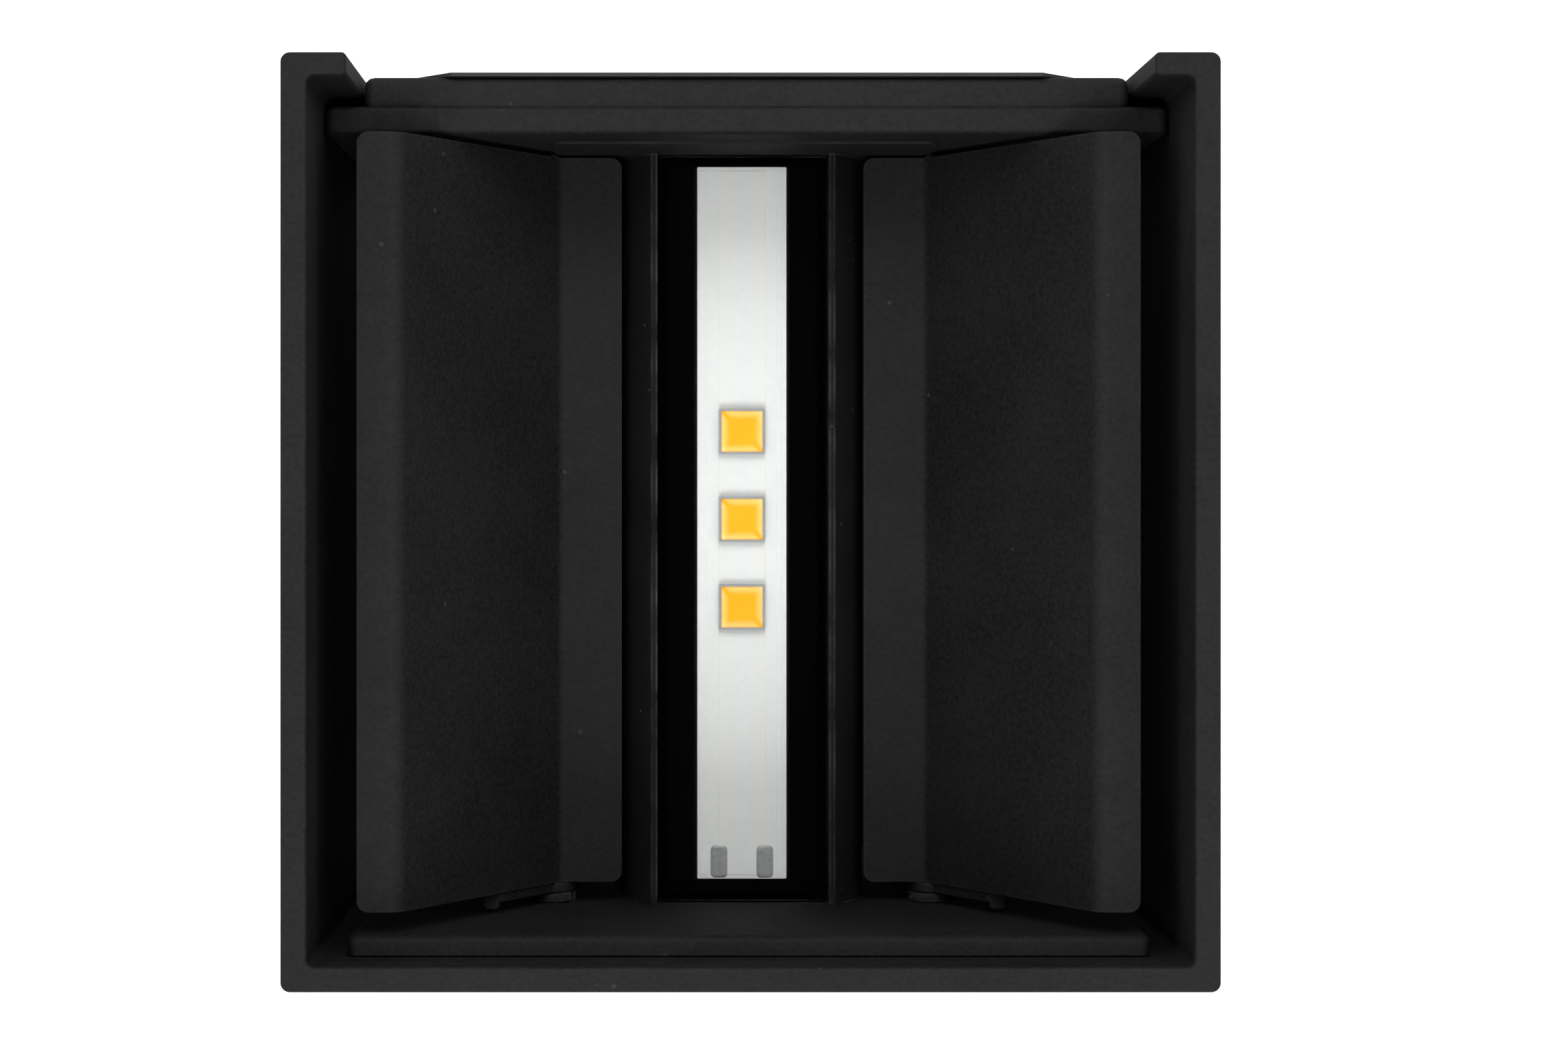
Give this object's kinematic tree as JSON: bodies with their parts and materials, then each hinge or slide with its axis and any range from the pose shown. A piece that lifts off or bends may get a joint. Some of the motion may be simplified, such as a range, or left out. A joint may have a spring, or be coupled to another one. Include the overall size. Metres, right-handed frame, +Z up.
{
  "type": "wall lamp",
  "caption": "Cube wall lamp that shines up and down, with hinged flaps in each light opening that narrow or widen the beam.",
  "frame": {"origin": "centre of the wall face, halfway up the lamp", "axes": "+Y into the wall, +Z up, +X to the right when the lamp is seen from the room; the lamp stands out towards -Y"},
  "size_m": [0.1, 0.1, 0.1],
  "materials": {
    "black_powder_coat": "fine textured black powder coat on aluminium",
    "black_steel": "blackened steel",
    "zinc_steel": "bright zinc plate",
    "black_rubber": "matt black silicone rubber",
    "white_moulding": "moulded polyamide",
    "lead_insulation": "silicone lead insulation",
    "black_moulding": "matt black polycarbonate",
    "thermal_pad": "soft silicone pad",
    "board_white": "white solder mask on an aluminium board",
    "led_package": "moulded LED package",
    "led_phosphor": "phosphor-filled silicone",
    "solder": "tinned copper pad",
    "clear_glass": "tempered clear glass"
  },
  "bodies": {
    "lamp": {"housing_shell": "black_powder_coat", "shell_grub_screws": "black_steel", "rear_casting": "black_powder_coat", "wall_gasket": "black_rubber", "wall_bracket": "zinc_steel", "base_locking_screws": "black_steel", "earth_screw": "zinc_steel", "cable_grommet": "black_rubber", "terminal_block": "white_moulding", "terminal_screws": "zinc_steel", "supply_leads": "lead_insulation", "led_driver": "white_moulding", "light_column": "black_powder_coat", "column_rear_screws": "black_steel", "front_plate": "black_powder_coat", "front_plate_screws": "black_steel", "light_frame_upper": "black_moulding", "light_frame_lower": "black_moulding", "thermal_pad_upper": "thermal_pad", "thermal_pad_lower": "thermal_pad", "led_board_upper": "board_white", "led_board_lower": "board_white", "led_packages_upper": "led_package", "led_packages_lower": "led_package", "led_phosphors_upper": "led_phosphor", "led_phosphors_lower": "led_phosphor", "solder_pads_upper": "solder", "solder_pads_lower": "solder", "window_seal_upper": "black_rubber", "window_seal_lower": "black_rubber", "window_glass_upper": "clear_glass", "window_glass_lower": "clear_glass", "led_leads_upper": "lead_insulation", "led_leads_lower": "lead_insulation", "front_pivot_pins": "black_steel", "rear_pivot_pins": "black_steel", "friction_rings": "black_steel"},
    "flap_upper_left": {"flap_upper_left": "black_powder_coat", "hinge_ear_upper_left": "black_powder_coat"},
    "flap_upper_right": {"flap_upper_right": "black_powder_coat", "hinge_ear_upper_right": "black_powder_coat"},
    "flap_lower_left": {"flap_lower_left": "black_powder_coat", "hinge_ear_lower_left": "black_powder_coat"},
    "flap_lower_right": {"flap_lower_right": "black_powder_coat", "hinge_ear_lower_right": "black_powder_coat"}
  },
  "joints": [
    {"name": "upper_left_flap_tilt", "type": "hinge", "parent": "lamp", "child": "flap_upper_left", "pos_m": [-0.0223, -0.05, 0.0162], "axis": [0, 1, 0], "range_deg": [-8, 60]},
    {"name": "upper_right_flap_tilt", "type": "hinge", "parent": "lamp", "child": "flap_upper_right", "pos_m": [0.0223, -0.05, 0.0162], "axis": [0, -1, 0], "range_deg": [-8, 60]},
    {"name": "lower_left_flap_tilt", "type": "hinge", "parent": "lamp", "child": "flap_lower_left", "pos_m": [-0.0223, -0.05, -0.0162], "axis": [0, -1, 0], "range_deg": [-8, 60]},
    {"name": "lower_right_flap_tilt", "type": "hinge", "parent": "lamp", "child": "flap_lower_right", "pos_m": [0.0223, -0.05, -0.0162], "axis": [0, 1, 0], "range_deg": [-8, 60]}
  ]
}
